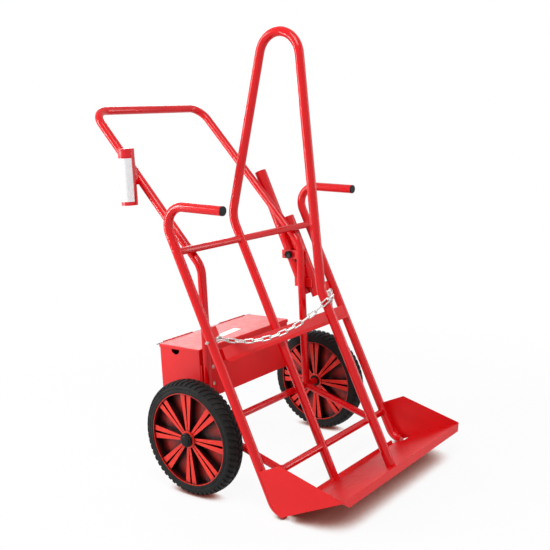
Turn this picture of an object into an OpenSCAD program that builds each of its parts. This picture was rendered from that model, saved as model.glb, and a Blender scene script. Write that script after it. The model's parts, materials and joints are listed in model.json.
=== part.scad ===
// Twin gas cylinder trolley: a leaning tube frame on two wheels, with a foot plate for two cylinders,
// a lifting loop between them, a push handle, a tool box, rod holders and a retaining chain.
// Millimetres, +Z up, the foot plate towards -Y, the push handle towards +Y.

/* [Frame] */
// Spacing of the two side rails, centre to centre
rail_spacing = 748; // [700:1:800]
// Lean of the rails from upright, in degrees
rail_lean = 23.8; // [21:0.1:27]
// Outside diameter of the rail and loop tubes
rail_tube_d = 32; // [28:0.5:36]
// Wall of the rail and loop tubes
rail_tube_wall = 2.5; // [2:0.1:4]
// Outside diameter of the cross tubes and struts
cross_tube_d = 25; // [22:0.5:28]
// Wall of the cross tubes and struts
cross_tube_wall = 2; // [1.5:0.1:3]
// Distance up the rail from axle height to the top cross tube
top_cross_at = 690; // [640:1:740]
// Distance down the rail from axle height to the lower cross tube
low_cross_at = 95; // [80:1:110]

/* [Side grips] */
// Height of the corner where a rail turns forward into its grip
grip_height = 986; // [940:1:1040]
// Length of a grip from that corner to its end
grip_length = 275; // [240:1:310]
// Droop of the grips towards the front, in degrees
grip_droop = 3; // [0:0.5:8]
// Bend radius at the top of a rail
grip_bend_r = 65; // [55:1:75]
// Bend radius at the foot of a rail
foot_bend_r = 50; // [45:1:60]
// Straight length past the bend at the foot of a rail
foot_tail = 4; // [3:1:18]
// Thickness of the head of a grip plug
plug_head = 5; // [3:0.5:8]
// Length of the plug stem inside the grip
plug_stem = 25; // [15:1:40]

/* [Lifting loop] */
// Distance of the lifting loop to the left of the middle
loop_offset = 45; // [0:1:70]
// Distance up the rail from axle height to the knee of the rear leg
loop_rear_knee = 777; // [740:1:800]
// Forward tilt of the rear leg above its knee, in degrees
loop_rear_tilt = 16.2; // [15:0.1:18]
// Distance of the front leg ahead of the rail plane
loop_reach = 245; // [225:1:255]
// Distance up from axle height to the knee of the front leg, along the rail direction
loop_front_knee = 408; // [380:1:440]
// Backward tilt of the front leg above its knee, in degrees
loop_front_tilt = 3.6; // [2.5:0.1:5]
// Bend radius at the top of the loop
loop_top_r = 83; // [78:0.5:90]
// Bend radius at the knees of the loop
loop_knee_r = 100; // [80:1:120]

/* [Push handle] */
// Spacing of the two handle legs, centre to centre
leg_spacing = 566; // [540:1:590]
// Outside diameter of the handle tube
handle_tube_d = 30; // [26:0.5:34]
// Wall of the handle tube
handle_tube_wall = 2.5; // [2:0.1:4]
// Backward slope of the handle above its elbow, from upright, in degrees
handle_slope = 41.7; // [38:0.1:46]
// Height of the push bar
handle_height = 1304; // [1240:1:1360]
// Bend radius at the handle elbows
elbow_r = 75; // [60:1:85]
// Bend radius at the corners of the push bar
handle_corner_r = 62; // [50:1:80]

/* [Foot plate] */
// Distance down the rail from axle height to the top of the floor
floor_at = 217; // [212:0.5:217.5]
// Depth of the floor ahead of the rail plane
floor_depth = 283; // [270:1:310]
// Thickness of the floor sheet and of the cheeks
sheet = 3; // [2:0.5:3.5]
// Height of the lip that is turned down at the front
lip_height = 24; // [15:1:35]
// Cut at the lower corners of the lip
lip_corner = 24; // [10:1:30]
// Height of the flange that is turned up at the rear
rear_flange = 12; // [8:1:20]
// Distance of the rear flange ahead of the rail plane
flange_ahead = 4; // [4:0.5:8]
// Width of the notch in each rear corner of the floor
corner_notch_w = 45; // [38:1:58]
// Depth of the notch in each rear corner of the floor
corner_notch_d = 62; // [50:1:80]
// Clearance of the loop legs in the holes of the floor, on the radius
loop_hole_clear = 0.05; // [0.03:0.01:0.2]
// Length of the level top edge of a cheek
cheek_top = 101; // [70:1:130]
// Height of a cheek above the floor
cheek_height = 153; // [130:1:170]

/* [Mid bar] */
// Distance down the rail from the left chain eye to the top edge of the mid bar
mid_bar_at = 33; // [31:1:57]
// Height of the mid bar without its lip
mid_bar_height = 38; // [30:1:50]
// Size of the lip along the lower edge
mid_bar_lip = 11; // [7:1:19]
// Thickness of the mid bar sheet
mid_bar_sheet = 3; // [2:0.5:4]
// Depth of the returns that meet the rails
mid_bar_return = 28; // [24:1:34]

/* [Wheels] */
// Wheel diameter over the tyre
wheel_d = 400; // [390:1:420]
// Width of the tyre
tyre_w = 66; // [58:1:76]
// Shoulder radius of the tyre
tyre_shoulder = 12; // [6:1:16]
// Radius where the tyre sits on the rim
tyre_seat_r = 161.5; // [156:0.5:166]
// Height of the rim flanges above the seat
rim_flange = 4; // [3:0.5:10]
// Thickness of the rim barrel and flanges
rim_wall = 4; // [3:0.5:9]
// Width of the rim between the outer faces of its flanges
rim_w = 64; // [58:1:66]
// Number of spoke pairs
spoke_pairs = 8; // [6:1:10]
// Thickness of each spoke rib at the rim
spoke_rib = 20; // [14:0.5:22]
// Thickness of each spoke rib at the hub
spoke_root = 6; // [4:0.5:9]
// Gap between the two ribs of a pair at the rim
spoke_gap = 9; // [6:0.5:14]
// Step of the spokes behind the ends of the hub
spoke_step = 2; // [1:0.5:8]
// Thickness of the web disc
web_disc = 6; // [5:0.5:12]
// Outside radius of the hub
hub_r = 30; // [26:0.5:34]
// Length of the hub
hub_length = 58; // [50:1:66]
// Wall of the hub bush
bush_wall = 4; // [3:0.5:6]
// Diameter of the axle bar
axle_d = 20; // [18:0.5:21]
// Running clearance of the bush on the axle bar, on the radius
bush_clear = 0.05; // [0.03:0.01:0.1]
// Side play of a wheel between its washers, each side
hub_play = 0.5; // [0.4:0.1:1]
// Thickness of the axle washers
washer_t = 2.5; // [2:0.5:4]
// Diameter of the axle washers
washer_d = 44; // [38:1:50]
// Diameter of the axle caps
cap_d = 48; // [42:1:54]
// Length of the axle caps
cap_length = 14; // [12:0.5:20]
// Chamfer of the axle caps
cap_chamfer = 4; // [2:0.5:6]
// Gap between the tyre and the rail
tyre_gap = 21; // [10:0.5:30]
// Gap between the handle leg and the tyre
wheel_side_gap = 43.5; // [25:0.5:55]

/* [Tool box] */
// Length of the tool box
box_length = 505; // [440:1:540]
// Depth of the tool box
box_depth = 188; // [160:1:220]
// Height of the tool box without its lid
box_height = 182; // [150:1:200]
// Height of the underside of the box
box_bottom = 299; // [285:1:310]
// Reach of the box past the left handle leg
box_overhang = 17; // [5:1:22]
// Thickness of the box and lid sheet
box_sheet = 2; // [1.5:0.1:3]
// Gap between the lid and the top edge of the box
lid_gap = 0.5; // [0.4:0.1:1]
// Gap between the lid skirt and the box
skirt_gap = 0.6; // [0.4:0.1:1]
// Height of the lid skirt
skirt_height = 10; // [6:1:16]
// Thickness of the box brackets
bracket_t = 5; // [4:0.5:8]
// Radius of the finger notch in the left end
notch_r = 19; // [14:1:24]
// Diameter of the hinge pin
hinge_pin_d = 5; // [4:0.5:6]
// Wall of the hinge knuckles
knuckle_wall = 2.5; // [2:0.1:3.5]
// Running clearance of the lid knuckles on the pin, on the radius
hinge_clear = 0.05; // [0.03:0.01:0.1]
// Length of one hinge knuckle
knuckle_length = 50; // [40:1:60]
// Gap between neighbouring knuckles
knuckle_gap = 0.6; // [0.4:0.1:1]
// Distance of the hinges from the ends of the box
hinge_inset = 25; // [15:1:40]
// Reach of the hinge pin past its end knuckles
pin_reach = 6; // [3:0.5:10]
// Diameter of the bracket bolts
bolt_d = 8; // [6:1:10]
// Distance between the two bolts of a bracket
bolt_pitch = 60; // [50:1:70]

/* [Rod holders] */
// Outside diameter of the rod holder tubes
rod_tube_d = 46; // [40:0.5:50]
// Wall of the rod holder tubes
rod_tube_wall = 2; // [1.5:0.1:3]
// Backward lean of the rod holder tubes, in degrees
rod_lean = 23; // [20:0.1:26]
// Height of the bottom of both rod holder tubes
rod_bottom = 562; // [550:1:590]
// Height of the top of the long tube
long_top = 1043; // [1000:1:1100]
// Height of the top of the short tube
short_top = 865; // [835:1:895]
// Gap ahead of the foot of the short tube, to the free tail of the chain
short_ahead = 15.6; // [8:0.1:26]
// Gap between the two tubes
rod_gap = 2; // [1:0.5:20]
// Thickness of the plates that carry the tubes
rod_plate_t = 6; // [4:0.5:8]
// Height of the plates that carry the tubes
rod_plate_h = 34; // [28:1:48]
// Height of the middle of the upper plate
rod_plate_high = 720; // [705:1:735]
// Height of the middle of the lower plate
rod_plate_low = 612; // [600:1:640]
// Diameter of the clamp knob
knob_d = 32; // [26:1:36]
// Length of the clamp knob
knob_length = 14; // [10:1:20]

/* [Document tube] */
// Outside diameter of the document tube
doc_d = 56; // [50:0.5:62]
// Wall of the document tube
doc_wall = 2; // [1.5:0.1:3]
// Length of the document tube without its cap
doc_length = 165; // [155:1:190]
// Height of the middle of the document tube, where it meets the handle
doc_middle = 1073; // [1040:1:1090]
// Thickness of the head of the cap
doc_cap_head = 28; // [20:1:36]
// Length of the cap spigot inside the tube
doc_cap_spigot = 20; // [12:1:30]
// Clearance of the cap in the tube, on the radius
doc_cap_clear = 0.3; // [0.3:0.05:0.6]
// Thickness of the pad between the tube and the handle
doc_pad_t = 4; // [3:0.5:6]

/* [Chain] */
// Wire diameter of the chain links
link_wire = 5; // [4:0.5:6]
// Pitch of the chain links
link_pitch = 29; // [26:0.5:32]
// Inside width of the chain links
link_inside = 8; // [7.5:0.5:9]
// Play between linked wires
link_play = 0.5; // [0.4:0.1:0.8]
// Sag of the left stretch of chain
left_sag = 58; // [20:1:70]
// Sag of the right stretch of chain
right_sag = 12; // [5:1:30]
// Height of the chain where it passes the front leg
chain_front_height = 640; // [620:1:660]
// Height of the chain eye on the left rail
eye_height = 545; // [543:1:552]
// Height of the chain eye on the right rail
hook_height = 575; // [565:1:590]
// Links in the free tail of the chain
tail_links = 3; // [2:1:5]

/* [Labels] */
// Thickness of the blank labels
label_t = 0.4; // [0.3:0.1:0.8]
// Length of the blank label on the lid
lid_label_l = 118; // [80:1:140]
// Width of the blank label on the lid
lid_label_w = 32; // [20:1:50]
// Height of the blank label round the document tube
doc_label_h = 148; // [100:1:148]
// How far round the document tube its label goes, in degrees
doc_label_turn = 133; // [90:1:200]
// Gap from the label up to the end of the document tube
doc_label_gap = 4; // [1:0.5:6]

/* [Hidden] */
$fn = 48;
over = 1;
bend_lap = 0.6;
bend_thin = 0.02;
link_lap = 0.2;

rail_x = rail_spacing / 2;
rail_r = rail_tube_d / 2;
cross_r = cross_tube_d / 2;
leg_x = leg_spacing / 2;
handle_r = handle_tube_d / 2;
loop_x = -loop_offset;
axle_h = wheel_d / 2;
rail_ahead = (wheel_d / 2 + tyre_gap + rail_r) / cos(rail_lean);
wheel_x = leg_x + handle_r + wheel_side_gap + tyre_w / 2;

// Place in the rail frame: x across, t behind the rail plane, s up along the rail from axle height
function in_rail(x, t, s) = [
    x,
    -rail_ahead + t * cos(rail_lean) + s * sin(rail_lean),
    axle_h - t * sin(rail_lean) + s * cos(rail_lean)
];
function rail_y(z) = -rail_ahead + tan(rail_lean) * (z - axle_h);

top_cross = in_rail(0, 0, top_cross_at);
low_cross = in_rail(0, 0, -low_cross_at);

// The handle elbow is set so that the sloping legs lie against the back of the top cross tube
leg_touch = handle_r + cross_r;
elbow_z = top_cross[2] - (leg_touch + top_cross[1] * cos(handle_slope)) / sin(handle_slope);
handle_y = (handle_height - elbow_z) * tan(handle_slope);

// The part is centred on the middle between the lip of the foot plate and the push bar
front_y = in_rail(0, -floor_depth, -floor_at - lip_height)[1];
middle_y = (front_y + handle_y + handle_r) / 2;

function unit(v) = v / norm(v);
function square_to(v) = abs(v[0]) < 0.9 ? unit(cross(v, [1, 0, 0])) : unit(cross(v, [0, 1, 0]));
function heading(p, i) = unit(p[i + 1] - p[i]);
function turn(p, i) = acos(heading(p, i - 1) * heading(p, i));
function setback(p, r, i) = (i == 0 || i == len(p) - 1) ? 0 : r[i] * tan(turn(p, i) / 2);

module centred() {
    translate([0, -middle_y, 0])
    children();
}

module place(o, ex, ey, ez) {
    multmatrix([
        [ex[0], ey[0], ez[0], o[0]],
        [ex[1], ey[1], ez[1], o[1]],
        [ex[2], ey[2], ez[2], o[2]],
        [0, 0, 0, 1]
    ])
    children();
}

// Puts children at a, with their Z along the line from a to b
module along(a, b) {
    ez = unit(b - a);
    ex = square_to(ez);
    place(a, ex, cross(ez, ex), ez)
    children();
}

module rod(a, b, d) {
    along(a, b)
    cylinder(h = norm(b - a), d = d);
}

module ring(d, wall) {
    difference() {
        circle(d = d);
        circle(d = d - 2 * wall);
    }
}

// Children swept round bend i of a run
module swept_bend(p, r, i) {
    a = heading(p, i - 1);
    b = heading(p, i);
    inward = unit(b - a * (a * b));
    place(p[i] - a * setback(p, r, i) + inward * r[i], -inward, a, cross(a, inward))
    rotate_extrude(angle = turn(p, i))
    translate([r[i], 0])
    children();
}

// Children pushed along leg i of a run, a little way into the bends at its ends
module pushed_leg(p, r, i) {
    start = p[i] + heading(p, i) * (setback(p, r, i) - (i > 0 ? bend_lap : 0));
    end = p[i + 1] - heading(p, i) * (setback(p, r, i + 1) - (i < len(p) - 2 ? bend_lap : 0));
    along(start, end)
    linear_extrude(height = norm(end - start))
    children();
}

module bent_rod(p, r, d) {
    for (i = [0 : len(p) - 2])
        pushed_leg(p, r, i)
        circle(d = d);
    for (i = [1 : len(p) - 2])
        swept_bend(p, r, i)
        circle(d = d - 2 * bend_thin);
}

// A bent tube is thinned by a hair in its bends, as bending leaves it
module bent_tube(p, r, d, wall) {
    for (i = [0 : len(p) - 2])
        pushed_leg(p, r, i)
        ring(d, wall);
    for (i = [1 : len(p) - 2])
        swept_bend(p, r, i)
        ring(d - 2 * bend_thin, wall - 2 * bend_thin);
}

module tube(a, b, d, wall) {
    along(a, b)
    difference() {
        cylinder(h = norm(b - a), d = d);
        translate([0, 0, -over])
        cylinder(h = norm(b - a) + 2 * over, d = d - 2 * wall);
    }
}

// Children drawn in the rail frame
module rail_frame() {
    translate([0, -rail_ahead, axle_h])
    rotate([-rail_lean, 0, 0])
    children();
}

// Children drawn with their XY plane as the t-s plane of the rail frame, from x0 over a width w
module across_rail(x0, w) {
    rail_frame()
    translate([x0, 0, 0])
    rotate([90, 0, 90])
    linear_extrude(height = w)
    children();
}

// Side rails
grip_corner_y = rail_y(grip_height);
rail_bends = [0, foot_bend_r, grip_bend_r, 0];
tail_y = rail_y(rail_r) - foot_bend_r * tan((90 - rail_lean) / 2) - foot_tail;
function rail_run(side) = [
    [side * rail_x, tail_y, rail_r],
    [side * rail_x, rail_y(rail_r), rail_r],
    [side * rail_x, grip_corner_y, grip_height],
    grip_end(side)
];
function grip_end(side) = [
    side * rail_x,
    grip_corner_y - grip_length * cos(grip_droop),
    grip_height - grip_length * sin(grip_droop)
];
grip_dir = [0, -cos(grip_droop), -sin(grip_droop)];

module rail_solid(side) {
    bent_rod(rail_run(side), rail_bends, rail_tube_d);
}

// Disc that closes the foot of a rail
module foot_end(side) {
    tip = rail_run(side)[0];
    rod(tip, tip + [0, rail_tube_wall, 0], rail_tube_d - rail_tube_wall);
}

module rail(side) {
    color([0.85, 0.07, 0.12])
    centred()
    difference() {
        union() {
            bent_tube(rail_run(side), rail_bends, rail_tube_d, rail_tube_wall);
            foot_end(side);
        }
        eye_hole(side);
    }
}

module grip_plugs() {
    color([0.05, 0.05, 0.05])
    centred()
    for (side = [-1, 1]) {
        rod(grip_end(side), grip_end(side) + grip_dir * plug_head, rail_tube_d - 1);
        rod(
            grip_end(side) - grip_dir * plug_stem,
            grip_end(side) + grip_dir * plug_head,
            rail_tube_d - 2 * rail_tube_wall
        );
    }
}

// Lifting loop: one tube from the floor up behind the cylinders, over, and down between them
rear_knee = in_rail(loop_x, 0, loop_rear_knee);
front_knee = in_rail(loop_x, -loop_reach, loop_front_knee);
rear_rise = [0, -sin(loop_rear_tilt), cos(loop_rear_tilt)];
loop_run_y = rear_knee[1] - front_knee[1] - tan(loop_front_tilt) * (rear_knee[2] - front_knee[2]);
rear_length = loop_run_y / (sin(loop_rear_tilt) + cos(loop_rear_tilt) * tan(loop_front_tilt));
loop_corner = rear_knee + rear_rise * rear_length;
loop_run = [
    in_rail(loop_x, 0, -floor_at - sheet),
    rear_knee,
    loop_corner,
    front_knee,
    in_rail(loop_x, -loop_reach, -floor_at - sheet)
];
loop_bends = [0, loop_knee_r, loop_top_r, loop_knee_r, 0];

module ground_cut() {
    translate([-rail_spacing, -2 * rail_spacing, -rail_spacing])
    cube([2 * rail_spacing, 4 * rail_spacing, rail_spacing + sheet]);
}

module lifting_loop() {
    color([0.85, 0.07, 0.12])
    centred()
    difference() {
        bent_tube(loop_run, loop_bends, rail_tube_d, rail_tube_wall);
        ground_cut();
    }
}

// Push handle, axle and cross tubes
handle_run = [
    [-leg_x, 0, axle_h],
    [-leg_x, 0, elbow_z],
    [-leg_x, handle_y, handle_height],
    [leg_x, handle_y, handle_height],
    [leg_x, 0, elbow_z],
    [leg_x, 0, axle_h]
];
handle_bends = [0, elbow_r, handle_corner_r, handle_corner_r, elbow_r, 0];
axle_tube_d = axle_d + 6;
axle_tube_half = wheel_x - hub_length / 2 - hub_play - washer_t;
axle_half = wheel_x + hub_length / 2 + hub_play + washer_t + cap_length - cap_chamfer;

module axle_solid(d, half) {
    rod([-half, 0, axle_h], [half, 0, axle_h], d);
}

module push_handle() {
    color([0.85, 0.07, 0.12])
    centred()
    difference() {
        bent_tube(handle_run, handle_bends, handle_tube_d, handle_tube_wall);
        axle_solid(axle_tube_d, axle_tube_half);
    }
}

module cross_tube(at, x0, x1) {
    color([0.85, 0.07, 0.12])
    centred()
    difference() {
        tube([x0, at[1], at[2]], [x1, at[1], at[2]], cross_tube_d, cross_tube_wall);
        for (x = [-rail_x, loop_x, rail_x])
            rod(in_rail(x, 0, -floor_at), in_rail(x, 0, loop_rear_knee), rail_tube_d);
    }
}

module strut(side) {
    color([0.85, 0.07, 0.12])
    centred()
    difference() {
        tube([side * leg_x, 0, axle_h], [side * leg_x, low_cross[1], low_cross[2]], cross_tube_d, cross_tube_wall);
        axle_solid(axle_tube_d, axle_tube_half);
        rod([-rail_x, low_cross[1], low_cross[2]], [rail_x, low_cross[1], low_cross[2]], cross_tube_d);
        rod([side * leg_x, 0, axle_h - handle_r], [side * leg_x, 0, elbow_z], handle_tube_d);
    }
}

module axle_tube() {
    color([0.85, 0.07, 0.12])
    centred()
    tube([-axle_tube_half, 0, axle_h], [axle_tube_half, 0, axle_h], axle_tube_d, (axle_tube_d - axle_d) / 2);
}

module axle_bar() {
    color([0.6, 0.6, 0.62])
    centred()
    axle_solid(axle_d, axle_half);
}

// Foot plate
floor_half = rail_x + rail_r;
notch_half = floor_half - corner_notch_w;

module foot_plate() {
    color([0.85, 0.07, 0.12])
    centred()
    rail_frame()
    difference() {
        union() {
            translate([0, 0, -floor_at - sheet])
            linear_extrude(height = sheet)
            polygon([
                [-notch_half, -flange_ahead], [notch_half, -flange_ahead],
                [notch_half, -corner_notch_d], [floor_half, -corner_notch_d],
                [floor_half, -floor_depth], [-floor_half, -floor_depth],
                [-floor_half, -corner_notch_d], [-notch_half, -corner_notch_d]
            ]);
            translate([-notch_half, -flange_ahead - sheet, -floor_at])
            cube([2 * notch_half, sheet, rear_flange]);
            translate([0, -floor_depth + sheet, -floor_at - sheet])
            rotate([90, 0, 0])
            linear_extrude(height = sheet)
            polygon([
                [-floor_half, 0], [floor_half, 0], [floor_half - lip_corner, sheet - lip_height],
                [lip_corner - floor_half, sheet - lip_height]
            ]);
        }
        for (t = [0, -loop_reach])
            translate([loop_x, t, -floor_at - sheet - over])
            cylinder(h = rear_flange + sheet + 2 * over, d = rail_tube_d + 2 * loop_hole_clear);
    }
}

// A cheek lies against the outside of a rail and fills the corner between it and the floor
foot_setback = foot_bend_r * tan((90 - rail_lean) / 2);
foot_corner_s = -(axle_h - rail_r) / cos(rail_lean);

module cheek(side) {
    color([0.85, 0.07, 0.12])
    centred()
    across_rail(side * (floor_half + sheet / 2) - sheet / 2, sheet)
    polygon([
        [0, cheek_height - floor_at], [-cheek_top, cheek_height - floor_at],
        [-floor_depth, sheet - floor_at], [-floor_depth, -floor_at - sheet],
        [-rail_r, -floor_at - sheet], [0, foot_corner_s + foot_setback]
    ]);
}

// Mid bar behind the cylinders, in front of the rear leg of the loop
bar_front = rail_r + mid_bar_sheet;
bar_top = (eye_height - axle_h) / cos(rail_lean) - mid_bar_at;
bar_low = bar_top - mid_bar_height;
bar_half = rail_x - rail_r;
lip_step = mid_bar_sheet * tan(22.5);

module mid_bar() {
    color([0.85, 0.07, 0.12])
    centred() {
        across_rail(-bar_half, 2 * bar_half)
        polygon([
            [-rail_r, bar_top], [-bar_front, bar_top], [-bar_front, bar_low],
            [-bar_front - mid_bar_lip, bar_low - mid_bar_lip],
            [-bar_front - mid_bar_lip + mid_bar_sheet / sqrt(2), bar_low - mid_bar_lip - mid_bar_sheet / sqrt(2)],
            [-rail_r, bar_low - lip_step]
        ]);
        for (side = [-1, 1])
            across_rail(side * (bar_half - mid_bar_sheet / 2) - mid_bar_sheet / 2, mid_bar_sheet)
            translate([-bar_front, bar_low])
            square([mid_bar_return, mid_bar_height]);
    }
}

// Wheels
bush_r = axle_d / 2 + bush_clear + bush_wall;
spoke_angle = 360 / spoke_pairs;
spoke_slit = 1;
barrel_in = tyre_seat_r - rim_wall;

module on_wheel(side) {
    translate([side * wheel_x, 0, axle_h])
    rotate([0, 90, 0])
    children();
}

module tyre(side) {
    outer = wheel_d / 2;
    color([0.09, 0.09, 0.09])
    centred()
    on_wheel(side)
    rotate_extrude($fn = 96) {
        translate([tyre_seat_r, -rim_w / 2 + rim_wall])
        square([rim_flange + tyre_shoulder, rim_w - 2 * rim_wall]);
        translate([tyre_seat_r + rim_flange, -tyre_w / 2 + tyre_shoulder])
        square([outer - tyre_seat_r - rim_flange, tyre_w - 2 * tyre_shoulder]);
        translate([tyre_seat_r + rim_flange + tyre_shoulder, -tyre_w / 2])
        square([outer - tyre_seat_r - rim_flange - 2 * tyre_shoulder, tyre_w]);
        for (end = [-1, 1])
            for (r = [tyre_seat_r + rim_flange + tyre_shoulder, outer - tyre_shoulder])
                translate([r, end * (tyre_w / 2 - tyre_shoulder)])
                circle(r = tyre_shoulder);
    }
}

// Half of a spoke pair: a rib that widens outwards, beside a slit that opens outwards
module spoke_shape() {
    inner = bush_r + 2;
    outer = barrel_in + rim_wall / 2;
    polygon([
        [inner, spoke_slit / 2], [outer, spoke_gap / 2],
        [outer, spoke_gap / 2 + spoke_rib], [inner, spoke_slit / 2 + spoke_root]
    ]);
}

module rim(side) {
    color([0.85, 0.14, 0.08])
    centred()
    on_wheel(side)
    difference() {
        union() {
            rotate_extrude($fn = 96) {
                translate([barrel_in, -rim_w / 2])
                square([rim_wall, rim_w]);
                for (end = [0, 1])
                    translate([barrel_in, -rim_w / 2 + end * (rim_w - rim_wall)])
                    square([rim_wall + rim_flange, rim_wall]);
                translate([bush_r, -web_disc / 2])
                square([barrel_in - bush_r + over, web_disc]);
                translate([bush_r, -hub_length / 2])
                square([hub_r - bush_r, hub_length]);
            }
            intersection() {
                for (i = [0 : spoke_pairs - 1])
                    for (flip = [0, 1])
                        rotate([0, 0, i * spoke_angle])
                        mirror([0, flip, 0])
                        linear_extrude(height = hub_length - 2 * spoke_step, center = true)
                        spoke_shape();
                cylinder(h = rim_w, r = barrel_in + over, center = true);
            }
        }
        cylinder(h = 2 * rim_w, r = bush_r, center = true);
    }
}

module bush(side) {
    color([0.75, 0.72, 0.6])
    centred()
    on_wheel(side)
    difference() {
        cylinder(h = hub_length, r = bush_r, center = true);
        cylinder(h = hub_length + 2 * over, r = axle_d / 2 + bush_clear, center = true);
    }
}

module washer_at(x) {
    translate([x, 0, axle_h])
    rotate([0, 90, 0])
    difference() {
        cylinder(h = washer_t, d = washer_d, center = true);
        cylinder(h = washer_t + 2 * over, d = axle_d, center = true);
    }
}

inner_washer_x = axle_tube_half + washer_t / 2;
outer_washer_x = wheel_x + hub_length / 2 + hub_play + washer_t / 2;

module washers(x) {
    color([0.7, 0.7, 0.72])
    centred()
    for (side = [-1, 1])
        washer_at(side * x);
}

module axle_caps() {
    color([0.05, 0.05, 0.05])
    centred()
    for (side = [-1, 1])
        translate([side * (outer_washer_x + washer_t / 2), 0, axle_h])
        rotate([0, side * 90, 0])
        difference() {
            union() {
                cylinder(h = cap_length - cap_chamfer, d = cap_d);
                translate([0, 0, cap_length - cap_chamfer])
                cylinder(h = cap_chamfer, d1 = cap_d, d2 = cap_d - 2 * cap_chamfer);
            }
            translate([0, 0, -over])
            cylinder(h = cap_length - cap_chamfer + over, d = axle_d);
        }
}

// Tool box
box_x = -leg_x - box_overhang;
box_y = handle_r + bracket_t;
box_top = box_bottom + box_height;
box_back = box_y + box_depth;
knuckle_r = hinge_pin_d / 2 + knuckle_wall;
hinge_y = box_back + knuckle_r + 1;
hinge_z = box_top + lid_gap;
skirt_out = skirt_gap + box_sheet;
knuckle_step = knuckle_length + knuckle_gap;
hinge_groups = [box_x + hinge_inset, box_x + box_length - hinge_inset - 3 * knuckle_length - 2 * knuckle_gap];

module knuckle(x, length, bore) {
    translate([x, hinge_y, hinge_z])
    rotate([0, 90, 0])
    difference() {
        cylinder(h = length, r = knuckle_r);
        translate([0, 0, -over])
        cylinder(h = length + 2 * over, d = bore);
    }
}

module hinge_hole(d) {
    translate([box_x - box_length, hinge_y, hinge_z])
    rotate([0, 90, 0])
    cylinder(h = 3 * box_length, d = d);
}

// The body of the box is folded from one sheet: front, floor and back
module tool_box() {
    color([0.85, 0.07, 0.12])
    centred()
    difference() {
        translate([box_x, box_y, box_bottom])
        cube([box_length, box_depth, box_height]);
        translate([box_x - over, box_y + box_sheet, box_bottom + box_sheet])
        cube([box_length + 2 * over, box_depth - 2 * box_sheet, box_height]);
        for (p = bolt_places)
            bolt_hole(p);
    }
}

module box_ends() {
    color([0.85, 0.07, 0.12])
    centred()
    difference() {
        for (x = [box_x, box_x + box_length - box_sheet])
            translate([x, box_y + box_sheet, box_bottom + box_sheet])
            cube([box_sheet, box_depth - 2 * box_sheet, box_height - box_sheet]);
        translate([box_x - over, box_y + 0.6 * box_depth, box_top - skirt_height])
        rotate([0, 90, 0])
        cylinder(h = box_sheet + 2 * over, r = notch_r);
    }
}

module box_knuckles() {
    color([0.85, 0.07, 0.12])
    centred()
    for (x = hinge_groups)
        for (i = [0, 2])
            difference() {
                union() {
                    knuckle(x + i * knuckle_step, knuckle_length, hinge_pin_d);
                    translate([x + i * knuckle_step, box_back, box_top - 2 * knuckle_r])
                    cube([knuckle_length, hinge_y - box_back, 2 * knuckle_r + lid_gap - knuckle_r / 2]);
                }
                hinge_hole(hinge_pin_d);
            }
}

lid_x = box_x - skirt_out;
lid_l = box_length + 2 * skirt_out;
lid_y = box_y - skirt_out;

module box_lid() {
    color([0.85, 0.07, 0.12])
    centred()
    translate([lid_x, lid_y, box_top + lid_gap])
    cube([lid_l, box_back - lid_y, box_sheet]);
}

module lid_skirt() {
    color([0.85, 0.07, 0.12])
    centred()
    translate([lid_x, lid_y, box_top + lid_gap - skirt_height])
    difference() {
        cube([lid_l, box_back - lid_y, skirt_height]);
        translate([box_sheet, box_sheet, -over])
        cube([lid_l - 2 * box_sheet, box_back - lid_y, skirt_height + 2 * over]);
    }
}

module lid_knuckles() {
    color([0.85, 0.07, 0.12])
    centred()
    difference() {
        for (x = hinge_groups) {
            knuckle(x + knuckle_step, knuckle_length, hinge_pin_d);
            translate([x + knuckle_step, box_back, box_top + lid_gap])
            cube([knuckle_length, hinge_y - box_back, box_sheet]);
        }
        hinge_hole(hinge_pin_d + 2 * hinge_clear);
    }
}

module hinge_pin() {
    color([0.65, 0.65, 0.67])
    centred()
    translate([box_x - pin_reach - skirt_out, hinge_y, hinge_z])
    rotate([0, 90, 0])
    cylinder(h = box_length + 2 * (pin_reach + skirt_out), d = hinge_pin_d);
}

// Brackets between the handle legs and the front of the box
bracket_z = box_bottom + 0.45 * box_height;
bracket_h = bolt_pitch + 4 * bolt_d;
left_bolt_x = -leg_x + handle_r + 3 * bolt_d;
right_bolt_x = box_x + box_length - 4 * bolt_d;
strap_z = box_top - 6 * bolt_d;
bolt_places = [
    [left_bolt_x, bracket_z - bolt_pitch / 2],
    [left_bolt_x, bracket_z + bolt_pitch / 2],
    [right_bolt_x, strap_z],
    [right_bolt_x - bolt_pitch, strap_z]
];

module bolt_hole(p) {
    translate([p[0], box_y - bracket_t - over, p[1]])
    rotate([-90, 0, 0])
    cylinder(h = bracket_t + box_sheet + 2 * over, d = bolt_d);
}

module bracket(x0, x1, z, h) {
    difference() {
        translate([x0, handle_r, z - h / 2])
        cube([x1 - x0, bracket_t, h]);
        for (p = bolt_places)
            bolt_hole(p);
    }
}

module left_box_bracket() {
    color([0.85, 0.07, 0.12])
    centred()
    bracket(-leg_x - handle_r, left_bolt_x + 2 * bolt_d, bracket_z, bracket_h);
}

module right_box_bracket() {
    color([0.85, 0.07, 0.12])
    centred()
    bracket(right_bolt_x - bolt_pitch - 2 * bolt_d, leg_x + handle_r, strap_z, 4 * bolt_d);
}

module box_bolts() {
    head = 0.65 * bolt_d;
    color([0.7, 0.7, 0.72])
    centred()
    for (p = bolt_places)
        translate([p[0], handle_r, p[1]])
        rotate([-90, 0, 0]) {
            translate([0, 0, -head])
            cylinder(h = head, d = 1.8 * bolt_d, $fn = 6);
            cylinder(h = bracket_t + box_sheet + 1.2 * bolt_d, d = bolt_d);
        }
}

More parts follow.
